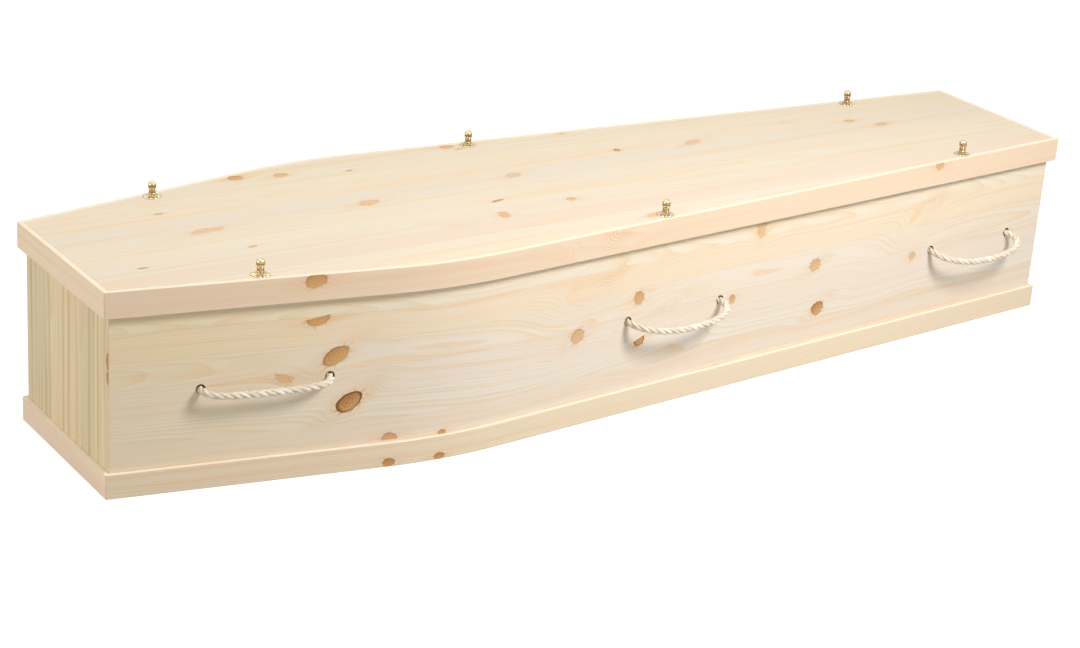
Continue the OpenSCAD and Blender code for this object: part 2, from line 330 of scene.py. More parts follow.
def slab(name, border, thickness, arris, place, holes=(), cuts=(), hole_arris=HOLE_ARRIS, upright=False):
    """A board with rounded edges and round holes, drawn flat and put in place by a function.

    `place` turns a flat point and a depth into a place. The wood's own coordinates are along its
    grain, across it and into it, and an upright grain runs up the flat drawing instead of along it.
    `cuts` are pairs of border points.
    """
    loops = [[(inset(border, step), depth) for step, depth in edge_profile(arris, thickness)]]
    for centre, radius in holes:
        rim = edge_profile(hole_arris, thickness)
        loops.append([(circle(centre, radius + step), depth) for step, depth in rim])
    flat, depths, scorch_and_shade, rings = [], [], [], []
    for number, loop in enumerate(loops):
        ids = []
        for k, (points, depth) in enumerate(loop):
            start = len(flat)
            flat.extend(points)
            depths.extend([depth] * len(points))
            # Hole walls carry a mark for scorch and painted shade.
            scorch_and_shade.extend([1.0 if number and 0 < k < len(loop) - 1 else 0.0] * len(points))
            ids.append(list(range(start, start + len(points))))
        rings.append(ids)
    faces = [face for ids in rings for face in bands(ids)]
    front = [i for ids in rings for i in ids[0]]
    back = [i for ids in rings for i in ids[-1]]
    number_of = {vertex: n for n, vertex in enumerate(front)}
    edges = []
    for ids in rings:
        ring = [number_of[i] for i in ids[0]]
        edges.extend(zip(ring, ring[1:] + ring[:1]))
    edges.extend((number_of[rings[0][0][a]], number_of[rings[0][0][b]]) for a, b in cuts)
    _, _, triangles, origins, _, _ = delaunay_2d_cdt([flat[i] for i in front], edges, [], 1, 1e-7)
    inner = [(centre, radius + hole_arris * 0.5) for centre, radius in holes]
    for triangle in triangles:
        ids = [origins[i][0] for i in triangle]
        middle = sum((flat[front[i]] for i in ids), Vector((0, 0))) / len(ids)
        if any((middle - centre).length < radius for centre, radius in inner):
            continue
        faces.append([front[i] for i in ids])
        faces.append([back[i] for i in reversed(ids)])
    mesh = new_mesh(name, [place(p.x, p.y, d) for p, d in zip(flat, depths)], faces)
    grain = [(p.y, p.x, d) if upright else (p.x, p.y, d) for p, d in zip(flat, depths)]
    add_attribute(mesh, "grain", grain)
    add_attribute(mesh, "scorch_and_shade", scorch_and_shade)
    piece = finished(name, mesh)
    facing = {i: face_normal(place, flat[i], thickness) for i in front}
    facing.update({i: -facing[j] for i, j in zip(back, front)})
    set_facing(piece.data, facing)
    return piece


def face_normal(place, point, thickness, step=0.0005):
    """The direction that a board's front faces at a flat point."""
    ahead, behind = (Vector(place(point.x + k * step, point.y, 0.0)) for k in (1, -1))
    above, below = (Vector(place(point.x, point.y + k * step, 0.0)) for k in (1, -1))
    normal = (ahead - behind).cross(above - below).normalized()
    outward = Vector(place(point.x, point.y, 0.0)) - Vector(place(point.x, point.y, thickness))
    return normal if normal.dot(outward) > 0 else -normal


def set_facing(mesh, facing):
    """Gives vertices their own normals, and leaves the other normals as they are."""
    normals = [tuple(corner.vector) for corner in mesh.corner_normals]
    for loop in mesh.loops:
        if loop.vertex_index in facing:
            normals[loop.index] = tuple(facing[loop.vertex_index])
    mesh.normals_split_custom_set(normals)


def add_attribute(mesh, name, values):
    vector = hasattr(values[0], "__len__")
    layer = mesh.attributes.new(name, "FLOAT_VECTOR" if vector else "FLOAT", "POINT")
    layer.data.foreach_set("vector" if vector else "value", np.array(values, np.float32).ravel())


def finished(name, mesh, sharp=50):
    """Makes an object of a mesh, with faces turned out and smooth up to an angle."""
    work = bmesh.new()
    work.from_mesh(mesh)
    bmesh.ops.recalc_face_normals(work, faces=work.faces)
    work.to_mesh(mesh)
    work.free()
    mesh.polygons.foreach_set("use_smooth", [True] * len(mesh.polygons))
    mesh.set_sharp_from_angle(angle=math.radians(sharp))
    piece = new_object(name, mesh)
    weighting = piece.modifiers.new("Weighted normals", "WEIGHTED_NORMAL")
    weighting.keep_sharp = True
    weighting.weight = 100
    bpy.context.view_layer.update()
    seen = piece.evaluated_get(bpy.context.evaluated_depsgraph_get())
    piece.data = bpy.data.meshes.new_from_object(seen)
    piece.modifiers.clear()
    return piece


def take_place(piece, slot_name, material, *nodes):
    """Gives a piece its material, and puts it in the place of its nodes."""
    piece.data.materials.clear()
    piece.data.materials.append(material)
    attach(piece, BODY)
    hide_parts(*nodes)
    return piece


def gaps(points):
    return np.linalg.norm(np.diff(points, axis=0), axis=1)


def distances(points):
    """How far along a path each of its points lies."""
    return np.concatenate(((0.0,), np.cumsum(gaps(points))))


def headings(points):
    """Unit directions along a path."""
    tangents = np.gradient(points, axis=0)
    return tangents / np.linalg.norm(tangents, axis=1)[:, None]


def level_frames(points):
    """Two directions across a path at each point, one of them level."""
    tangents = headings(points)
    across = np.cross(tangents, np.array((0.0, 0.0, 1.0)))
    across /= np.linalg.norm(across, axis=1)[:, None]
    return across, np.cross(across, tangents)


def carried_frames(points):
    """Two directions across a path, carried along it without a twist, for a path that turns every way."""
    tangents = headings(points)
    side = np.cross(tangents[0], (0.3, 0.5, 0.8))
    across = []
    for tangent in tangents:
        side = side - tangent * side.dot(tangent)
        side /= np.linalg.norm(side)
        across.append(side)
    across = np.array(across)
    return across, np.cross(tangents, across)


def smooth_path(rows, step):
    """Points at even steps on a smooth curve through the rows."""
    rows = np.array(rows, float)
    ends = np.vstack((2 * rows[0] - rows[1], rows, 2 * rows[-1] - rows[-2]))
    times = np.concatenate(((0.0,), np.cumsum(gaps(ends) ** 0.5)))
    fine = []
    for i in range(1, len(ends) - 2):
        t0, t1, t2, t3 = times[i - 1:i + 3]
        p0, p1, p2, p3 = ends[i - 1:i + 3]
        for t in np.linspace(t1, t2, 24, endpoint=False):
            a1 = ((t1 - t) * p0 + (t - t0) * p1) / (t1 - t0)
            a2 = ((t2 - t) * p1 + (t - t1) * p2) / (t2 - t1)
            a3 = ((t3 - t) * p2 + (t - t2) * p3) / (t3 - t2)
            b1 = ((t2 - t) * a1 + (t - t0) * a2) / (t2 - t0)
            b2 = ((t3 - t) * a2 + (t - t1) * a3) / (t3 - t1)
            fine.append(((t2 - t) * b1 + (t - t1) * b2) / (t2 - t1))
    fine.append(rows[-1])
    return resample(np.array(fine), step)


def resample(points, step):
    lengths = distances(points)
    places = np.linspace(0.0, lengths[-1], max(2, round(lengths[-1] / step) + 1))
    return np.column_stack([np.interp(places, lengths, points[:, k]) for k in range(3)])


def path_length(points):
    return float(gaps(points).sum())


class Tubes:
    """Collects round tubes into one mesh, with a coordinate that follows their yarns."""

    def __init__(self):
        self.vertices, self.faces, self.yarn = [], [], []

    def add(self, points, radius, sides, number, ridges=0, depth=0.0, ridge_lay=1.0, closed=False,
            taper=False, rough=0.0):
        """Adds a tube, whose ridges turn once round it in each length of their lay."""
        across, up = carried_frames(points)
        lengths = distances(points)
        count = len(points)
        self.faces += tube_faces(count, sides, len(self.vertices), closed)
        for j in range(count):
            thin = 1 - 0.85 * j / (count - 1) if taper else 1.0
            for i in range(sides):
                turn = math.tau * i / sides
                level, height = math.cos(turn), math.sin(turn)
                wave = 1 + depth * math.cos(ridges * turn - math.tau * lengths[j] / ridge_lay)
                if rough:
                    wave += rough * noise((lengths[j] * 260, level * 1.4 + 9 * number, height * 1.4))
                spoke = across[j] * level + up[j] * height
                self.vertices.append(points[j] + spoke * radius * wave * thin)
                self.yarn.append((lengths[j], turn / math.tau, number))

    def piece(self, name):
        mesh = new_mesh(name, [tuple(v) for v in self.vertices], self.faces)
        add_attribute(mesh, "yarn", self.yarn)
        mesh.polygons.foreach_set("use_smooth", [True] * len(mesh.polygons))
        return new_object(name, mesh)


def turned(name, profile, sides=64):
    """A closed solid turned round Z. A profile row is radius, height and how grimy that ring is."""
    vertices, grime = [], []
    for radius, height, dirt in profile:
        for i in range(sides):
            turn = math.tau * i / sides
            vertices.append((radius * math.cos(turn), radius * math.sin(turn), height))
            grime.append(dirt)
    mesh = new_mesh(name, vertices, tube_faces(len(profile), sides))
    add_attribute(mesh, "grime", grime)
    return mesh


# ---------------------------------------------------------------- node helpers


class Wiring:
    """Adds nodes to one node tree and links them."""

    def __init__(self, tree):
        self.tree = tree

    def add(self, kind, inputs=(), **settings):
        node = self.tree.nodes.new(kind)
        for key, value in settings.items():
            setattr(node, key, value)
        for key, value in dict(inputs).items():
            self.join(value, node.inputs[key])
        return node

    def join(self, value, socket):
        if isinstance(value, bpy.types.NodeSocket):
            self.tree.links.new(value, socket)
        else:
            socket.default_value = value

    def fill(self, sockets, **values):
        """Joins values to the sockets of the same names."""
        for key, value in values.items():
            self.join(value, sockets[key.replace("_", " ").title()])

    def math(self, operation, *values):
        return self.add("ShaderNodeMath", enumerate(values), operation=operation).outputs[0]

    def plus(self, *values):
        total = values[0]
        for value in values[1:]:
            total = self.math("ADD", total, value)
        return total

    def times(self, *values):
        total = values[0]
        for value in values[1:]:
            total = self.math("MULTIPLY", total, value)
        return total

    def minus(self, a, b):
        return self.math("SUBTRACT", a, b)

    def over(self, a, b):
        return self.math("DIVIDE", a, b)

    def step(self, value, low, high, start=0.0, end=1.0):
        """A smooth change from start to end, while a value goes from low to high."""
        keys = {"Value": value, "From Min": low, "From Max": high, "To Min": start, "To Max": end}
        return self.add("ShaderNodeMapRange", keys, interpolation_type="SMOOTHSTEP").outputs[0]

    def fade(self, value, low, high):
        return self.step(value, low, high, 1.0, 0.0)

    def split(self, vector):
        return self.add("ShaderNodeSeparateXYZ", {0: vector}).outputs

    def vector(self, x, y, z=0.0):
        return self.add("ShaderNodeCombineXYZ", {0: x, 1: y, 2: z}).outputs[0]

    def length(self, x, y):
        return self.add("ShaderNodeVectorMath", {0: self.vector(x, y)}, operation="LENGTH").outputs["Value"]

    def noise(self, vector, scale=1.0, detail=2.0, roughness=0.5):
        keys = {"Vector": vector, "Scale": scale, "Detail": detail, "Roughness": roughness}
        return self.add("ShaderNodeTexNoise", keys, noise_dimensions="3D").outputs[0]

    def chance(self, vector):
        """Three random numbers that belong to a vector."""
        white = self.add("ShaderNodeTexWhiteNoise", {"Vector": vector}, noise_dimensions="3D")
        return self.add("ShaderNodeSeparateColor", {0: white.outputs["Color"]}).outputs

    def mix(self, factor, a, b):
        """A blend of two colours, whose sockets are the node's seventh and eighth."""
        return self.add("ShaderNodeMix", {0: factor, 6: a, 7: b}, data_type="RGBA").outputs[2]

    def scale(self, colour_socket, factor):
        """A colour made lighter or darker by a factor."""
        grey = self.vector(factor, factor, factor)
        keys = {0: colour_socket, 1: grey}
        return self.add("ShaderNodeVectorMath", keys, operation="MULTIPLY").outputs[0]

    def attribute(self, name, output="Vector"):
        return self.add("ShaderNodeAttribute", attribute_name=name).outputs[output]

    def facing(self, normal):
        """How far up a surface faces, by one of its normals."""
        return self.split(self.add("ShaderNodeNewGeometry").outputs[normal])[2]

    def bump(self, strength, distance, height):
        keys = {"Strength": strength, "Distance": distance, "Height": height}
        return self.add("ShaderNodeBump", keys).outputs[0]

    def seen(self):
        """One for the rays that show what lies behind the coffin, and nought for those that light it."""
        rays = self.add("ShaderNodeLightPath").outputs
        straight = self.math("MAXIMUM", rays["Is Camera Ray"], rays["Is Glossy Ray"])
        return self.math("MAXIMUM", straight, rays["Is Transmission Ray"])


def linear(colour_value):
    """A colour as a shader takes it."""
    return tuple(
        c / 12.92 if c <= 0.04045 else ((c + 0.055) / 1.055) ** 2.4 for c in colour_value[:3]) + (1.0,)


def new_material(name, base):
    """A material, with its wiring and the sockets of its shader."""
    material = bpy.data.materials.new(name)
    material.use_nodes = True
    material.diffuse_color = linear(base)
    return material, Wiring(material.node_tree), material.node_tree.nodes["Principled BSDF"].inputs


def new_group(name, inputs, outputs):
    """An empty node group with named sockets, its wiring, its inputs and its output sockets.

    Sockets are written as "Name:Kind", where the kind is F for a number and V for a vector.
    """
    tree = bpy.data.node_groups.new(name, "ShaderNodeTree")
    kinds = {"F": "NodeSocketFloat", "V": "NodeSocketVector"}
    for in_out, sockets in (("INPUT", inputs), ("OUTPUT", outputs)):
        for socket in sockets.split(", "):
            label, kind = socket.split(":")
            tree.interface.new_socket(label, in_out=in_out, socket_type=kinds[kind])
    wiring = Wiring(tree)
    return tree, wiring, wiring.add("NodeGroupInput").outputs, wiring.add("NodeGroupOutput").inputs


def run_group(wiring, tree, **inputs):
    """Adds a group to a tree, with its inputs by name, and returns its outputs."""
    node = wiring.add("ShaderNodeGroup", node_tree=tree)
    wiring.fill(node.inputs, **inputs)
    return node.outputs


def shared(stock, name, build):
    """Something that is built once, and found again by its name."""
    return stock.get(name) or build(name)


# ---------------------------------------------------------------- wood


def build_growth(name):
    """Growth rings of glued staves: each stave is cut its own way from its own log."""
    tree, w, given, result = new_group(
        name, "Grain:V, Bent:V, Stave Width:F, Stave Offset:F, Seed:F, Ring Width:F",
        "Late:F, Tone:F, Warm:F, Fibre:F, Streak:F, Joint:F")
    u, v, deep = w.split(given["Grain"])
    shift = w.minus(w.split(given["Bent"])[1], v)
    place = w.over(w.plus(v, given["Stave Offset"]), given["Stave Width"])
    stave = w.math("FLOOR", place)
    across = w.times(w.minus(w.math("FRACT", place), 0.5), given["Stave Width"])
    first = w.chance(w.vector(stave, given["Seed"], 0.3))
    second = w.chance(w.vector(stave, given["Seed"], 7.7))
    key = w.plus(w.times(stave, 7.31), given["Seed"])
    wander = w.minus(w.noise(w.vector(w.times(u, 1.6), key, 0.0), 1.0, 1.0), 0.5)
    waver = w.minus(w.noise(w.vector(w.times(u, 2.3), key, 5.0), 1.0, 1.0), 0.5)
    ripple = w.minus(w.noise(w.vector(w.times(u, 9.0), w.times(v, 26.0), key), 1.0, 2.0), 0.5)
    pith_across = w.times(w.minus(first[0], 0.5), given["Stave Width"], 1.5)
    pith_deep = w.plus(0.004, w.times(first[1], 0.05), w.times(w.minus(first[2], 0.5), u, 0.035),
                       w.times(wander, 0.035))
    radius = w.length(w.plus(w.minus(w.plus(across, shift), pith_across), w.times(waver, 0.016)),
                      w.plus(deep, pith_deep))
    radius = w.plus(radius, w.times(ripple, 0.0026))
    years = w.over(radius, w.times(given["Ring Width"], w.plus(0.7, w.times(second[0], 0.7))))
    part = w.math("FRACT", years)
    late = w.times(w.math("POWER", part, 2.2), w.fade(part, 0.90, 1.0), 1.3)
    strength = w.chance(w.vector(w.math("FLOOR", years), key, 1.0))[0]
    fibre = w.noise(w.vector(w.times(u, 6.0), w.times(v, 480.0), w.times(deep, 480.0)), 1.0, 2.0)
    streak = w.noise(w.vector(w.times(u, 1.3), w.times(w.plus(v, shift), 95.0), key), 1.0, 3.0)
    edge = w.minus(w.times(given["Stave Width"], 0.5), w.math("ABSOLUTE", across))
    w.fill(
        result, late=w.times(late, w.plus(0.45, w.times(strength, 0.55))), tone=second[1], warm=second[2],
        fibre=fibre, streak=streak, joint=w.fade(edge, 0.0002, 0.0011))
    return tree


def build_knot(name):
    """One knot: its core, dark rim, rings and warm halo, and how it pushes the grain aside."""
    tree, w, given, result = new_group(
        name,
        "Grain:V, Centre:V, Reach:V, Tilt:F, Low:F, High:F, Dark:F, Wobble:F, Speckle:F, Marks:V, Rings:F",
        "Grain:V, Marks:V, Rings:F")
    u, v, deep = w.split(given["Grain"])
    centre, reach = w.split(given["Centre"]), w.split(given["Reach"])
    du, dv = w.minus(u, centre[0]), w.minus(v, centre[1])
    cosine, sine = w.math("COSINE", given["Tilt"]), w.math("SINE", given["Tilt"])
    p = w.over(w.plus(w.times(cosine, du), w.times(sine, dv)), reach[0])
    q = w.over(w.minus(w.times(cosine, dv), w.times(sine, du)), reach[1])
    smooth = w.length(p, w.times(q, w.plus(1.0, w.times(p, 0.12))))
    r = w.plus(smooth, w.times(given["Wobble"], 0.28))
    shown = w.times(w.math("GREATER_THAN", q, given["Low"]), w.math("LESS_THAN", q, given["High"]))
    firm = w.step(given["Dark"], 0.25, 0.40)
    core = w.times(w.fade(r, 0.90, 1.02), shown, w.math("MINIMUM", given["Dark"], 1.0), firm)
    rim = w.times(w.step(r, 0.84, 0.98), w.fade(r, 1.0, 1.14), shown, given["Dark"],
                  given["Dark"], firm, w.plus(0.75, w.times(q, 0.35)))
    arcs = w.step(w.math("SINE", w.times(w.plus(smooth, w.times(given["Wobble"], 0.08)), 50.0)), 0.0, 1.0)
    fan = w.times(arcs, w.fade(r, 0.25, 1.05), w.step(r, 0.05, 0.2), given["Dark"], 4.0,
                  w.minus(1.0, firm), shown)
    wide = w.length(w.times(p, 0.45), q)
    angle = w.math("ARCTAN2", q, p)
    spokes = w.math("SINE", w.plus(w.times(angle, 9.0), w.times(given["Wobble"], 14.0), centre[0]))
    whiskers = w.times(w.step(spokes, 0.35, 1.0), w.fade(r, 1.0, 1.8))
    near = w.plus(0.25, w.times(whiskers, 1.3))
    halo = w.times(w.fade(wide, 0.9, 2.1), shown, near, w.plus(0.5, w.times(given["Dark"], 0.5)),
                   firm)
    halo = w.math("MAXIMUM", halo, fan)
    speckle = given["Speckle"]
    waves = w.math("SINE", w.plus(w.times(r, 25.0), w.times(speckle, 5.0)))
    rings = w.times(w.plus(0.32, w.times(0.18, waves), w.times(speckle, 2.4), w.times(q, 0.30)), core,
                    given["Dark"])
    far = w.length(w.times(p, 0.55), q)
    pull = w.over(-0.85, w.math("MAXIMUM", w.times(far, far), 1.0))
    push = w.times(dv, pull, w.fade(far, 1.6, 5.0))
    marks = w.vector(core, rim, halo)
    most = w.add("ShaderNodeVectorMath", {0: marks, 1: given["Marks"]}, operation="MAXIMUM").outputs[0]
    w.fill(
        result, grain=w.vector(u, w.plus(v, push), deep), marks=most,
        rings=w.math("MAXIMUM", rings, given["Rings"]))
    return tree


def build_scatter(name):
    """Places for knots here and there, one in some of the cells of a net."""
    tree, w, given, result = new_group(
        name, "Grain:V, Cell:F, Share:F, Seed:F", "Centre:V, Reach:V, Tilt:F, Dark:F")
    u, v, _ = w.split(given["Grain"])
    squeeze = 1.6
    flat = w.vector(w.over(u, given["Cell"]), w.over(w.times(v, squeeze), given["Cell"]))
    moved = w.add("ShaderNodeVectorMath", {0: flat, 1: w.vector(given["Seed"], given["Seed"])},
                  operation="ADD").outputs[0]
    cells = w.add("ShaderNodeTexVoronoi", {"Vector": moved, "Scale": 1.0, "Randomness": 0.7},
                  voronoi_dimensions="2D", feature="F1")
    at = w.split(cells.outputs["Position"])
    luck = w.add("ShaderNodeSeparateColor", {0: cells.outputs["Color"]}).outputs
    x = w.times(w.minus(at[0], given["Seed"]), given["Cell"])
    y = w.over(w.times(w.minus(at[1], given["Seed"]), given["Cell"]), squeeze)
    size = w.plus(0.006, w.times(luck[1], 0.010))
    w.fill(
        result, centre=w.vector(x, y), reach=w.vector(w.times(size, 1.3), size),
        tilt=w.times(w.minus(luck[2], 0.5), 0.9),
        dark=w.times(w.math("LESS_THAN", luck[0], given["Share"]), w.plus(0.5, luck[2])))
    return tree


# How a board's wood looks: the colour and contrast of its latewood, its staves, the seed and width of
# its rings, how much the staves differ, how streaked and how rosy they are, how much painted
# highlight pales its faces that look up, how much painted shade tint makes it creamier towards the
# head, and how rough it is.
Finish = namedtuple(
    "Finish",
    "late contrast stave_width stave_offset seed ring_width tones streaks rose top ripe roughness",
    defaults=(0.0036, 0.04, 0.30, 0.35, 0.0, 0.0, 0.55))
SIDE_FINISH = Finish((0.91, 0.75, 0.53), 0.46, 0.0474, 0.0104, 3.0, rose=0.22, ripe=0.36)
END_FINISH = Finish((0.79, 0.66, 0.45), 0.30, 0.044, 0.012, 5.0, 0.0075, 0.10, 0.80)
BASE_FINISH = Finish((0.84, 0.68, 0.47), 0.42, 0.070, 0.02, 21.0, 0.0046, 0.08)
LID_FINISH = Finish((0.92, 0.77, 0.57), 0.40, 0.052, 0.026, 31.0, 0.0042, 0.05, 0.42, 0.40)
LONG_STRIP_FINISH = Finish((0.90, 0.70, 0.51), 0.42, 0.30, 0.05, 41.0, 0.0042, 0.02, top=0.65)
END_STRIP_FINISH = Finish((0.92, 0.70, 0.54), 0.42, 0.30, 0.05, 51.0, 0.0042, 0.02, top=0.60)


def pine(name, base, finish, knots=(), scatter=0.0, cell=0.26):
    """Planed pine: staves, growth rings, fibre, glue joints and knots, with a painted highlight on faces
    that look up, a painted shade tint towards the head, and scorch with painted shade on hole walls.
    """
    material, w, shader = new_material(name, base)
    grain = w.attribute("grain")
    wobble = w.minus(w.noise(grain, 70.0, 1.0), 0.5)
    speckle = w.minus(w.noise(grain, 900.0, 1.0), 0.5)
    spots = [
        {"centre": (knot.along, knot.across, 0.0), "reach": (knot.length / 2, knot.height / 2, 0.0),
         "tilt": math.radians(knot.tilt), "low": knot.low, "high": knot.high, "dark": knot.dark}
        for knot in knots]
    if scatter:
        spot = run_group(
            w, shared(bpy.data.node_groups, "Scattered knots", build_scatter), grain=grain, cell=cell,
            share=scatter, seed=finish.seed)
        scattered = {key: spot[key.title()] for key in ("centre", "reach", "tilt", "dark")}
        spots.append({"low": -WHOLE, "high": WHOLE, **scattered})
    knot_group = shared(bpy.data.node_groups, "Wood knot", build_knot)
    knotty = {"Grain": grain, "Marks": (0.0, 0.0, 0.0), "Rings": 0.0}
    for spot in spots:
        knotty = run_group(
            w, knot_group, grain=knotty["Grain"], marks=knotty["Marks"], rings=knotty["Rings"],
            wobble=wobble, speckle=speckle, **spot)
    wood = run_group(
        w, shared(bpy.data.node_groups, "Growth rings", build_growth), grain=grain, bent=knotty["Grain"],
        stave_width=finish.stave_width, stave_offset=finish.stave_offset, seed=finish.seed,
        ring_width=finish.ring_width)
    core, rim, halo = w.split(knotty["Marks"]) if spots else (0.0, 0.0, 0.0)
    up = w.facing("True Normal")
    if finish.top and knots:
        sides = w.fade(up, 0.90, 0.99)
        core, rim, halo = w.times(core, sides), w.times(rim, sides), w.times(halo, sides)
    pale, late = linear(base), linear(finish.late)
    tone = w.plus(1.0, w.times(w.minus(wood["Tone"], 0.5), finish.tones),
                  w.times(w.minus(wood["Fibre"], 0.5), 0.08), w.times(wood["Joint"], -0.05))
    # Painted shade tint: the side turns creamier towards the head, where it lies in shade.
    ripe = w.times(w.fade(w.split(grain)[0], -0.50, 0.20), finish.ripe)
    creamy = w.mix(w.plus(w.times(wood["Tone"], 0.35), ripe), pale, linear((0.93, 0.87, 0.70)))
    tinted = w.mix(w.times(w.step(wood["Streak"], 0.48, 0.72), finish.streaks), creamy, late)
    rosy = w.times(w.step(wood["Warm"], 0.40, 1.0), finish.rose)
    tinted = w.mix(rosy, tinted, linear((0.94, 0.79, 0.68)))
    ringed = w.mix(w.times(wood["Late"], finish.contrast), tinted, late)
    # Painted highlight: faces that look up are mixed towards pale cream, as far as the finish's top share
    # says.
    painted_top_highlight = w.mix(w.times(w.step(up, 0.90, 0.99), finish.top), ringed, linear((0.97, 0.94, 0.88)))
    toned = w.scale(painted_top_highlight, tone)
    warmed = w.mix(w.times(halo, 0.55), toned, linear((0.88, 0.67, 0.43)))
    heart = w.mix(knotty["Rings"], linear((0.86, 0.66, 0.43)), linear((0.57, 0.36, 0.18)))
    knotted = w.mix(core, warmed, heart)
    rimmed = w.mix(w.times(rim, 0.85), knotted, linear((0.50, 0.33, 0.17)))
    # Hole walls turn dark brown: partly scorch, partly painted shade inside the holes.
    scorched_and_shaded = w.mix(w.times(w.attribute("scorch_and_shade", "Fac"), 0.85), rimmed, linear((0.66, 0.44, 0.22)))
    shader["Specular IOR Level"].default_value = 0.25
    w.fill(
        shader, base_color=scorched_and_shaded,
        roughness=w.plus(finish.roughness, w.times(wood["Fibre"], 0.12), w.times(core, -0.15)),
        normal=w.bump(0.35, 0.0003, w.plus(w.times(wood["Fibre"], 0.45), w.times(wood["Joint"], -0.8))))
    return material


def on_board(knots, plan=None):
    """Knots in metres. With a plan, their place along the board is measured along its line."""
    moved = []
    for knot in knots:
        along, across, length, height = (value * MM for value in knot[:4])
        moved.append(knot._replace(
            along=plan.along(along) if plan else along, across=across, length=length, height=height))
    return moved


# ---------------------------------------------------------------- brass and rope


def brass(name):
    """Polished brass with a little tarnish in its grooves, and a painted reflection that makes it a darker
    tan where it faces sideways and down.
    """
    base = colours().brass
    material, w, shader = new_material(name, base)
    place = w.add("ShaderNodeTexCoord").outputs["Object"]
    cloud = w.noise(place, 260.0, 3.0, 0.6)
    fine = w.noise(place, 1400.0, 2.0)
    grime = w.times(w.attribute("grime", "Fac"), w.plus(0.6, w.times(cloud, 0.6)))
    tone = w.mix(w.step(cloud, 0.40, 0.70), linear(base), linear((0.95, 0.90, 0.76)))
    # Painted reflection: faces that look up stay pale gold, and faces that look sideways and down turn a
    # darker tan.
    painted_shading = w.mix(w.step(w.facing("Normal"), -0.30, 0.75), linear((0.60, 0.48, 0.31)), tone)
    dulled = w.mix(w.times(grime, 0.75), painted_shading, linear((0.34, 0.27, 0.16)))
    shader["Metallic"].default_value = 1.0
    w.fill(
        shader, base_color=dulled, roughness=w.plus(0.13, w.times(cloud, 0.12), w.times(grime, 0.25)),
        normal=w.bump(0.12, 0.0001, fine))
    return material


def rope_fibre():
    """Pale twisted natural fibre, whose yarns slant round each strand, with painted shade in the grooves
    between yarns.
    """
    base = colours().rope
    material, w, shader = new_material("Rope fibre", base)
    far, turn, number = w.split(w.attribute("yarn"))
    slant = w.plus(turn, w.times(far, 22.0))
    yarns = w.math("FRACT", w.times(slant, 9.0))
    groove = w.step(w.math("ABSOLUTE", w.minus(yarns, 0.5)), 0.30, 0.5)
    fuzz = w.noise(w.vector(w.times(far, 160.0), w.times(slant, 26.0), w.times(number, 3.1)), 1.0, 3.0, 0.6)
    patch = w.noise(w.vector(w.times(far, 30.0), turn, w.times(number, 5.3)), 1.0, 2.0)
    tinted = w.mix(w.step(patch, 0.42, 0.70), linear(base), linear((0.99, 0.97, 0.93)))
    # Painted shade: the grooves between the yarns are mixed darker.
    painted_shading = w.mix(w.times(groove, 0.60), tinted, linear((0.72, 0.63, 0.47)))
    shader["Sheen Weight"].default_value = 0.25
    shader["Sheen Roughness"].default_value = 0.5
    w.fill(
        shader, base_color=w.scale(painted_shading, w.plus(0.82, w.times(fuzz, 0.34))),
        roughness=w.plus(0.72, w.times(fuzz, 0.2)),
        normal=w.bump(0.6, 0.0004, w.plus(w.times(groove, -0.7), w.times(fuzz, 0.5))))
    return material


# ---------------------------------------------------------------- operators


class COFFIN_OT_camera(bpy.types.Operator):
    """Adds the camera that looks along the coffin from its head end"""

    bl_idname = "coffin.camera"
    bl_label = "Camera"

    def execute(self, context):
        data = bpy.data.cameras.new("Coffin camera")
        data.sensor_width = 36.0
        data.lens = 80.616
        data.clip_start = 0.05
        camera = new_object("Coffin camera", data)
        # The directions that the camera's own right, down and forward point in.
        right = Vector((0.83205, -0.55068, 0.06667))
        down = Vector((-0.15728, -0.34947, -0.92365))
        forward = Vector((0.53193, 0.75804, -0.37739))
        turn = Matrix((right, -down, -forward)).transposed().to_4x4()
        camera.matrix_world = Matrix.Translation((-2.3967, -3.3053, 1.724)) @ turn
        context.scene.camera = camera
        return {"FINISHED"}


def handle_along(plan, name):
    """How far along the side's line the middle of a handle is, which is between its two knots."""
    corners = [corner for letter in "ab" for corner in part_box(f"left_{name}_knot_{letter}")]
    middle = sum((corner.xy for corner in corners), Vector((0, 0))) / len(corners)
    start = 0.0 if middle.x < plan.shoulder_x else plan.bend
    n = plan.normal(start)
    return start + (middle - plan.point(start, 0.0)).dot(Vector((n.y, -n.x)))


def handle_point(plan, side, name, row):
    along = handle_along(plan, name)
    out = plan.normal(along)
    flat = plan.point(along, row[1] * MM) + Vector((out.y, -out.x)) * row[0] * MM
    return np.array((flat.x, side * flat.y, sizes().rope_height + row[2] * MM))


def rope_strands(tubes, path, diameter, lay):
    """Strands laid round a path."""
    across, up = level_frames(path)
    step = path_length(path) / (len(path) - 1)
    strand = diameter * STRAND_SHARE
    centre = diameter / 2 - strand
    for number in range(STRANDS):
        turns = [math.tau * (number / STRANDS - j * step / lay) for j in range(len(path))]
        cosines, sines = np.cos(turns)[:, None], np.sin(turns)[:, None]
        line = path + centre * (across * cosines + up * sines)
        tubes.add(line, strand, 20, number, ridges=9, depth=0.05, ridge_lay=0.013, rough=0.20)


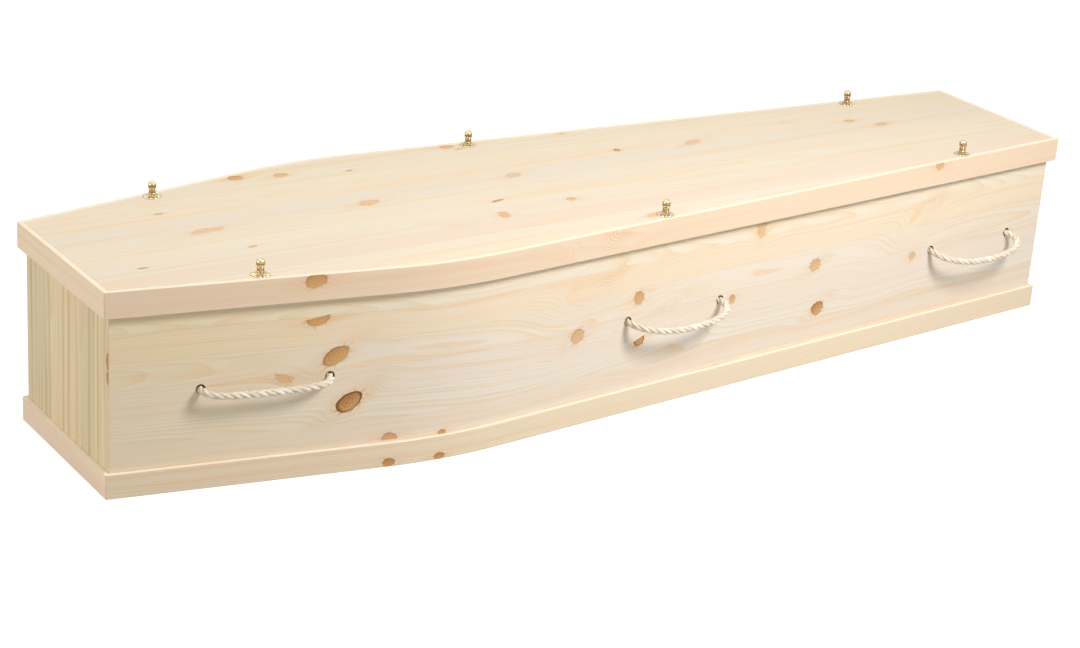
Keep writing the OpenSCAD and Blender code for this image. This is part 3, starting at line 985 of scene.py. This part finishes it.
def rope_hairs(tubes, path, diameter, count, chance):
    """Loose fibres that stand off the rope."""
    tangents = headings(path)
    across, up = level_frames(path)
    for _ in range(count):
        j = chance.randrange(14, len(path) - 14)
        turn = chance.uniform(0, math.tau)
        out = across[j] * math.cos(turn) + up[j] * math.sin(turn)
        way = tangents[j] * chance.choice((-1, 1)) + np.cross(tangents[j], out) * chance.uniform(-0.6, 0.6)
        long = chance.uniform(0.003, 0.0065)
        lift = chance.uniform(0.05, 0.30)
        root = path[j] + out * diameter * 0.45
        points = [
            root + way * long * t + out * long * lift * t * (1.4 - 0.4 * t) for t in (0.0, 0.33, 0.66, 1.0)]
        tubes.add(np.array(points), HAIR_RADIUS, 3, 4, taper=True)


def stopper_knot(name, centre, out, side, width, length, number):
    """A stopper knot: one strand woven three times round in a fat ring, on a core of rope."""
    strand, sway = 0.0033, 0.0032
    ring = width / 2 - strand - sway
    rounds, weaves, steps = 3, 5, 300
    points = []
    for j in range(steps):
        turn = math.tau * rounds * j / steps
        weave = turn * weaves / rounds
        radius = ring + sway * math.cos(weave)
        points.append((radius * math.cos(turn), radius * math.sin(turn),
                       (length / 2 - strand) * math.sin(weave)))
    axis = Vector((out.x, side * out.y, 0.0))
    turned_to = axis.to_track_quat("Z", "Y").to_matrix()
    placed = np.array([turned_to @ Vector(p) + centre for p in points])
    tubes = Tubes()
    tubes.add(placed, strand, 14, number, ridges=7, depth=0.05, ridge_lay=-0.012, closed=True)
    core = np.array([centre + axis * t * (length / 2 - 0.001) for t in np.linspace(-1, 1, 8)])
    tubes.add(core, 0.0054, 16, number + 1, ridges=6, depth=0.06, ridge_lay=0.02)
    return tubes.piece(name)


class COFFIN_OT_handles(bpy.types.Operator):
    """Adds the six rope handles and the stopper knots that hold them inside the walls"""

    bl_idname = "coffin.handles"
    bl_label = "Rope handles"

    def execute(self, context):
        s = sizes()
        plan = Plan()
        material = rope_fibre()
        for side_name, side in SIDES.items():
            for name in HANDLES:
                node = f"{side_name}_{name}"
                chance = random.Random(node)
                route = ROUTES[name]
                half = route[-1][0]
                into = [(-half, ROPE_END, 0), (-half, ROPE_END / 2, 0)]
                rows = [*into, *route, *((half, out, up) for _, out, up in reversed(into))]
                path = smooth_path([handle_point(plan, side, name, row) for row in rows], ROPE_STEP)
                tubes = Tubes()
                rope_strands(tubes, path, s.rope_diameter, s.rope_lay)
                rope_hairs(tubes, path, s.rope_diameter, s.hairs, chance)
                rope = take_place(tubes.piece(f"rope_{node}"), "rope", material, f"{node}_rope")
                out = plan.normal(handle_along(plan, name))
                for letter, number in (("a", 6), ("b", 8)):
                    low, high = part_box(f"{node}_knot_{letter}")
                    knot = stopper_knot(f"stopper_{node}_{letter}", (low + high) / 2, out, side,
                                        high.z - low.z, STOPPER_LENGTH, number)
                    take_place(knot, "rope", material, f"{node}_knot_{letter}")
                handle_point(plan, side, name, route[0])
        return {"FINISHED"}


def box_border(x0, x1, z0, z1, steps=()):
    """A flat box outline with extra points along its long edges, and the cuts between them."""
    inner = [x for x in steps if x0 < x < x1]
    lower = [Vector((x, z0)) for x in (x0, *inner, x1)]
    upper = [Vector((x, z1)) for x in reversed((x0, *inner, x1))]
    count = len(lower)
    cuts = [(i, 2 * count - 1 - i) for i in range(1, count - 1)]
    return lower + upper, cuts


def side_piece(name, plan, side, z0, z1, inner, outer, arris, holes=()):
    """A board or strip that follows the side's line between two distances out from it, with mitred ends."""
    start, stop = plan.along(-(ENDS_X + outer), outer), plan.along(ENDS_X + outer, outer)
    steps = plan.bend_steps()
    for centre, radius in holes:
        steps += [centre.x - 2 * radius, centre.x + 2 * radius]
    border, cuts = box_border(start, stop, z0, z1, sorted(steps))

    def place(u, v, depth):
        out = outer - depth
        moved = u
        if u - start < MITRE_REACH:
            moved += plan.along(-(ENDS_X + out), out) - start
        if stop - u < MITRE_REACH:
            moved += plan.along(ENDS_X + out, out) - stop
        point = plan.point(moved, out)
        return (point.x, side * point.y, v)

    return slab(name, border, outer - inner, arris, place, holes, cuts)


def end_piece(name, plan, end, z0, z1, inner, outer, arris, upright=False):
    """A board or strip across one end, between two distances from the coffin's middle, with mitred ends."""

    def half(x):
        return plan.half_width(x - ENDS_X, end * x)

    widest = half(outer)
    border, _ = box_border(-widest, widest, z0, z1)

    def place(u, v, depth):
        x = outer - depth
        return (end * x, u * half(x) / widest, v)

    return slab(name, border, outer - inner, arris, place, upright=upright)


def flat_board(name, plan, z0, z1, out, end_x, arris, holes=()):
    """A flat board with the coffin's whole outline, at a distance out from the side's line."""
    line = [plan.point(plan.along(-end_x, out), out)]
    line += [plan.point(along, out) for along in plan.bend_steps()]
    line += [plan.point(plan.along(end_x, out), out)]
    border = [Vector((p.x, -p.y)) for p in line] + [p.copy() for p in reversed(line)]

    def place(u, v, depth):
        return (u, v, z1 - depth)

    return slab(name, border, z1 - z0, arris, place, holes, hole_arris=LID_HOLE_ARRIS)


class COFFIN_OT_boards(bpy.types.Operator):
    """Adds the base, side and end boards"""

    bl_idname = "coffin.boards"
    bl_label = "Boards"

    def execute(self, context):
        s, c = sizes(), colours()
        plan = Plan()
        near = pine("Side pine right", c.side_pine, SIDE_FINISH, on_board(SIDE_KNOTS, plan))
        far = pine("Side pine left", c.side_pine, SIDE_FINISH._replace(seed=8.0), (), 0.34)
        for side_name, side in SIDES.items():
            holes = []
            for name in HANDLES:
                middle = handle_along(plan, name)
                half = ROUTES[name][-1][0] * MM
                for end in (-1, 1):
                    holes.append((Vector((middle + end * half, s.handle_height)), s.hole_diameter / 2))
            board = side_piece(
                f"board_side_{side_name}", plan, side, 0.0, WALL, -BOARD, 0.0, s.joint_arris, holes)
            take_place(board, "side_pine", near if side < 0 else far, f"{side_name}_side")
        head = pine("Head pine", c.end_pine, END_FINISH, on_board(HEAD_KNOTS))
        foot = pine("Foot pine", c.end_pine, END_FINISH._replace(seed=11.0), (), 0.25, 0.20)
        for end_name, wood in (("head", head), ("foot", foot)):
            board = end_piece(
                f"board_{end_name}", plan, ENDS[end_name], 0.0, WALL, END_INNER_X, ENDS_X, s.joint_arris,
                upright=True)
            take_place(board, "end_pine", wood, f"{end_name}_board")
        base = flat_board("board_base", plan, 0.0, BOARD, -BOARD, END_INNER_X, s.joint_arris)
        wood = pine("Base pine", c.inner_pine, BASE_FINISH, (), 0.35, 0.30)
        take_place(base, "inner_pine", wood, "base_board")
        return {"FINISHED"}


def screw_places():
    """Where each lid screw stands, by its node's name."""
    places = {}
    for side_name in SIDES:
        for name in HANDLES:
            low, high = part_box(f"{side_name}_{name}_rose")
            places[f"{side_name}_{name}"] = Vector(((low.x + high.x) / 2, (low.y + high.y) / 2, low.z))
    return places


class COFFIN_OT_lid(bpy.types.Operator):
    """Adds the lid board with its screw holes"""

    bl_idname = "coffin.lid"
    bl_label = "Lid board"

    def execute(self, context):
        s, c = sizes(), colours()
        plan = Plan()
        holes = [(place.xy, LID_HOLE_RADIUS) for place in screw_places().values()]
        end_x = ENDS_X + LID_GAP
        board = flat_board("board_lid", plan, WALL, LID_TOP, LID_GAP, end_x, s.joint_arris, holes)
        wood = pine("Lid pine", c.lid_pine, LID_FINISH, on_board(LID_KNOTS))
        take_place(board, "lid_pine", wood, "lid_board")
        return {"FINISHED"}


class COFFIN_OT_strips(bpy.types.Operator):
    """Adds the strips round the lid and round the base"""

    bl_idname = "coffin.strips"
    bl_label = "Strips"

    def execute(self, context):
        s, c = sizes(), colours()
        plan = Plan()
        rows = (
            ("lid", LID_STRIP_BOTTOM, LID_TOP, LID_GAP, LID_REACH, LID_STRIP_KNOTS, 41.0),
            ("base", 0.0, BASE_STRIP_TOP, 0.0, BASE_REACH, BASE_STRIP_KNOTS, 45.0),
        )
        for level, z0, z1, inner, outer, knots, seed in rows:
            for side_name, side in SIDES.items():
                shown = (on_board(knots, plan),) if side < 0 else ((), 0.25, 0.24)
                finish = LONG_STRIP_FINISH._replace(seed=seed + side)
                wood = pine(f"{level} strip pine {side_name}", c.long_strip_pine, finish, *shown)
                strip = side_piece(f"strip_{level}_{side_name}", plan, side, z0, z1, inner, outer, s.arris)
                take_place(strip, "long_strip_pine", wood, f"{level}_strip_{side_name}")
            for end_name, end in ENDS.items():
                finish = END_STRIP_FINISH._replace(seed=seed + 4 * end)
                wood = pine(f"{level} strip pine {end_name}", c.end_strip_pine, finish)
                strip = end_piece(f"strip_{level}_{end_name}", plan, end, z0, z1, ENDS_X + inner,
                                  ENDS_X + outer, s.arris)
                take_place(strip, "end_strip_pine", wood, f"{level}_strip_{end_name}")
        return {"FINISHED"}


# A lid screw above its rosette: the radius, height and grime of each ring, the first two in
# millimetres. Its ball is a sphere on top of these.
SCREW_STEM = (
    (5.7, 0.0, 0.7), (6.2, 0.25, 0.2), (6.45, 0.8, 0.0), (6.3, 1.3, 0.1), (5.95, 1.8, 0.8),
    (5.75, 2.1, 0.5), (5.85, 2.6, 0.0), (5.9, 5.0, 0.0), (5.9, 7.6, 0.0), (5.8, 8.4, 0.1),
    (5.4, 9.1, 0.5), (4.6, 9.5, 1.0), (4.5, 9.9, 1.0), (4.9, 10.3, 0.8), (6.6, 10.75, 0.2),
    (7.4, 11.1, 0.0), (7.75, 11.5, 0.0), (7.4, 11.95, 0.0), (6.8, 12.2, 0.3), (6.5, 12.4, 1.0),
    (6.45, 12.7, 0.8),
)
BALL_RADIUS = 7.2
BALL_MIDDLE = 15.82


def screw_profile(shank_bottom, rose_top):
    """Radius, height and grime of each ring of a lid screw, from the tip of its shank up."""
    root, crest, pitch = 0.0019, 0.0025, 0.0022
    base = rose_top - shank_bottom
    thread_top = base - 0.020
    rows = [(0.0004, 0.0, 1.0), (0.0016, 0.003, 1.0)]
    height = 0.004
    while height < thread_top:
        rows += [(root, height, 1.0), (crest, height + 0.0007, 0.4), (root, height + 0.0014, 1.0)]
        height += pitch
    rows += [(crest, thread_top + 0.001, 0.2), (crest, base - 0.0002, 0.6)]
    rows += [(radius * MM, base + up * MM, dirt) for radius, up, dirt in SCREW_STEM]
    lowest, sweep, steps = -24, 113.5, 24
    for i in range(steps):
        turn = math.radians(lowest + sweep * i / (steps - 1))
        up = (BALL_MIDDLE + BALL_RADIUS * math.sin(turn)) * MM
        rows.append((BALL_RADIUS * math.cos(turn) * MM, base + up, 0.0))
    return [(radius, shank_bottom + up, dirt) for radius, up, dirt in rows]


class COFFIN_OT_lid_screws(bpy.types.Operator):
    """Adds the brass ball-headed lid screws"""

    bl_idname = "coffin.lid_screws"
    bl_label = "Lid screws"

    def execute(self, context):
        material = shared(bpy.data.materials, "Polished brass", brass)
        for node, place in screw_places().items():
            low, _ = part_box(f"{node}_screw")
            _, rose_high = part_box(f"{node}_rose")
            mesh = turned(f"screw_{node}", screw_profile(low.z, rose_high.z))
            mesh.transform(Matrix.Translation((place.x, place.y, 0.0)))
            screw = finished(f"screw_{node}", mesh, 75)
            take_place(screw, "brass", material, f"{node}_screw")
            screw.visible_shadow = False
        return {"FINISHED"}


# A rosette's upper side from its hole out: part of its radius, part of its height, and grime.
ROSETTE_ROWS = (
    (0.20, 1.00, 0.2), (0.30, 1.00, 0.1), (0.38, 0.98, 0.0), (0.43, 0.86, 0.5), (0.50, 0.66, 0.3),
    (0.60, 0.50, 0.1), (0.70, 0.42, 0.0), (0.80, 0.36, 0.0), (0.90, 0.30, 0.0), (0.96, 0.24, 0.0),
    (1.00, 0.15, 0.0), (0.99, 0.04, 0.3), (0.96, 0.00, 0.6),
)


def rosette_mesh(name, rim, bore, height, petals, around=144):
    """A pressed rosette: a flared dish whose rim is cut and whose top is embossed into petals."""
    vertices, grime = [], []
    turns = [math.tau * i / around for i in range(around)]
    for part, up, dirt in ROSETTE_ROWS:
        for turn in turns:
            wave = abs(math.cos(petals * turn / 2))
            scallop = 1 - 0.13 * (1 - wave ** 0.6) * max(0.0, (part - 0.45) / 0.55)
            embossed = max(0.0, min(1.0, (part - 0.42) / 0.2)) * min(1.0, (1.02 - part) / 0.1)
            crest = (wave - 0.5) * 0.22 * embossed
            radius = max(bore, rim * part * scallop)
            z = height * max(0.0, up + (crest if up > 0.2 else 0.0))
            vertices.append((radius * math.cos(turn), radius * math.sin(turn), z))
            grime.append(min(1.0, dirt + (0.8 * (1 - wave) ** 2 if 0.45 < part < 0.99 else 0.0)))
    for z in (0.0, height * 0.98):
        vertices += [(bore * math.cos(turn), bore * math.sin(turn), z) for turn in turns]
        grime += [1.0] * around
    mesh = new_mesh(name, vertices, tube_faces(len(ROSETTE_ROWS) + 2, around, closed=True))
    add_attribute(mesh, "grime", grime)
    return mesh


class COFFIN_OT_rosettes(bpy.types.Operator):
    """Adds the petalled brass rosettes under the lid screws"""

    bl_idname = "coffin.rosettes"
    bl_label = "Rosettes"

    def execute(self, context):
        material = shared(bpy.data.materials, "Polished brass", brass)
        for node, place in screw_places().items():
            low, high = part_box(f"{node}_rose")
            mesh = rosette_mesh(
                f"rosette_{node}", (high.x - low.x) / 2, LID_HOLE_RADIUS, high.z - low.z, petals=12)
            mesh.transform(Matrix.Translation(place))
            rosette = finished(f"rosette_{node}", mesh, 80)
            take_place(rosette, "brass", material, f"{node}_rose")
        return {"FINISHED"}


def aim(piece, place, target):
    way = Vector(target) - Vector(place)
    piece.matrix_world = Matrix.Translation(place) @ way.to_track_quat("-Z", "Y").to_matrix().to_4x4()


class COFFIN_OT_stage(bpy.types.Operator):
    """Adds the white floor, the white surroundings and the lamps"""

    bl_idname = "coffin.stage"
    bl_label = "Stage"

    def execute(self, context):
        scene = context.scene
        scene.view_settings.view_transform = "Standard"
        corners = [(x * FLOOR_REACH, y * FLOOR_REACH, 0) for x, y in ((-1, -1), (1, -1), (1, 1), (-1, 1))]
        floor = new_object("Floor", new_mesh("Floor", corners, [(0, 1, 2, 3)]))
        floor.location.z = CAD_BOX[0][2] - FLOOR_GAP
        floor.data.materials.append(self.floor_material())
        floor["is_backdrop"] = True
        self.world(scene)
        lamps = (
            ("Front lamp", (0.60, -1.80, 1.97), (0.0, -0.1, 0.20), 0.80, 54.0),
            ("Top lamp", (-0.90, 0.10, 2.40), (-0.60, 0.0, 0.3), 1.50, 10.5),
            ("Head lamp", (-3.20, 0.30, 1.00), (-0.9, 0.0, 0.15), 1.20, 21.0),
        )
        for name, place, target, size, power in lamps:
            data = bpy.data.lights.new(name, "AREA")
            data.shape = "DISK"
            data.size = size
            data.energy = power
            lamp = new_object(name, data)
            aim(lamp, place, target)
            lamp.visible_camera = False
        return {"FINISHED"}

    def floor_material(self):
        material = bpy.data.materials.new("White floor")
        material.use_nodes = True
        w = Wiring(material.node_tree)
        nodes = material.node_tree.nodes
        nodes.remove(nodes["Principled BSDF"])
        matt = w.add("ShaderNodeBsdfDiffuse", {"Color": (0.50, 0.50, 0.50, 1.0)}).outputs[0]
        lit = {"Color": (1.0, 1.0, 1.0, 1.0), "Strength": w.times(w.seen(), FLOOR_GLOW)}
        glow = w.add("ShaderNodeEmission", lit)
        both = w.add("ShaderNodeAddShader", {0: matt, 1: glow.outputs[0]})
        w.join(both.outputs[0], nodes["Material Output"].inputs["Surface"])
        return material

    def world(self, scene):
        world = bpy.data.worlds.new("White room")
        scene.world = world
        world.use_nodes = True
        w = Wiring(world.node_tree)
        background = world.node_tree.nodes["Background"]
        seen = w.seen()
        warm, white = (1.0, 0.97, 0.83, 1.0), (1.0, 1.0, 1.0, 1.0)
        w.join(w.mix(seen, warm, white), background.inputs["Color"])
        w.join(w.step(seen, 0.0, 1.0, ROOM_LIGHT, 1.0), background.inputs["Strength"])


OPERATORS = (
    COFFIN_OT_camera,
    COFFIN_OT_handles,
    COFFIN_OT_boards,
    COFFIN_OT_lid,
    COFFIN_OT_strips,
    COFFIN_OT_lid_screws,
    COFFIN_OT_rosettes,
    COFFIN_OT_stage,
)


class COFFIN_PT_panel(bpy.types.Panel):
    """Lists the coffin's sizes, colours and building steps"""

    bl_idname = "COFFIN_PT_panel"
    bl_label = "Pine coffin"
    bl_space_type = "VIEW_3D"
    bl_region_type = "UI"
    bl_category = "Coffin"

    def draw(self, context):
        layout = self.layout
        for group in (context.scene.coffin_sizes, context.scene.coffin_colours):
            for name in group.__annotations__:
                layout.prop(group, name)
        for operator in OPERATORS:
            layout.operator(operator.bl_idname)


CLASSES = (CoffinSizes, CoffinColours, *OPERATORS, COFFIN_PT_panel)


def register():
    for cls in CLASSES:
        bpy.utils.register_class(cls)
    bpy.types.Scene.coffin_sizes = PointerProperty(type=CoffinSizes)
    bpy.types.Scene.coffin_colours = PointerProperty(type=CoffinColours)


def unregister():
    del bpy.types.Scene.coffin_colours
    del bpy.types.Scene.coffin_sizes
    for cls in reversed(CLASSES):
        bpy.utils.unregister_class(cls)


def main():
    register()
    for operator in OPERATORS:
        module, name = operator.bl_idname.split(".")
        getattr(getattr(bpy.ops, module), name)()
    boxes = {"cad": CAD_BOX, "visual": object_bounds()}
    {key: [list(corner) for corner in box] for key, box in boxes.items()}


if __name__ == "__main__":
    main()
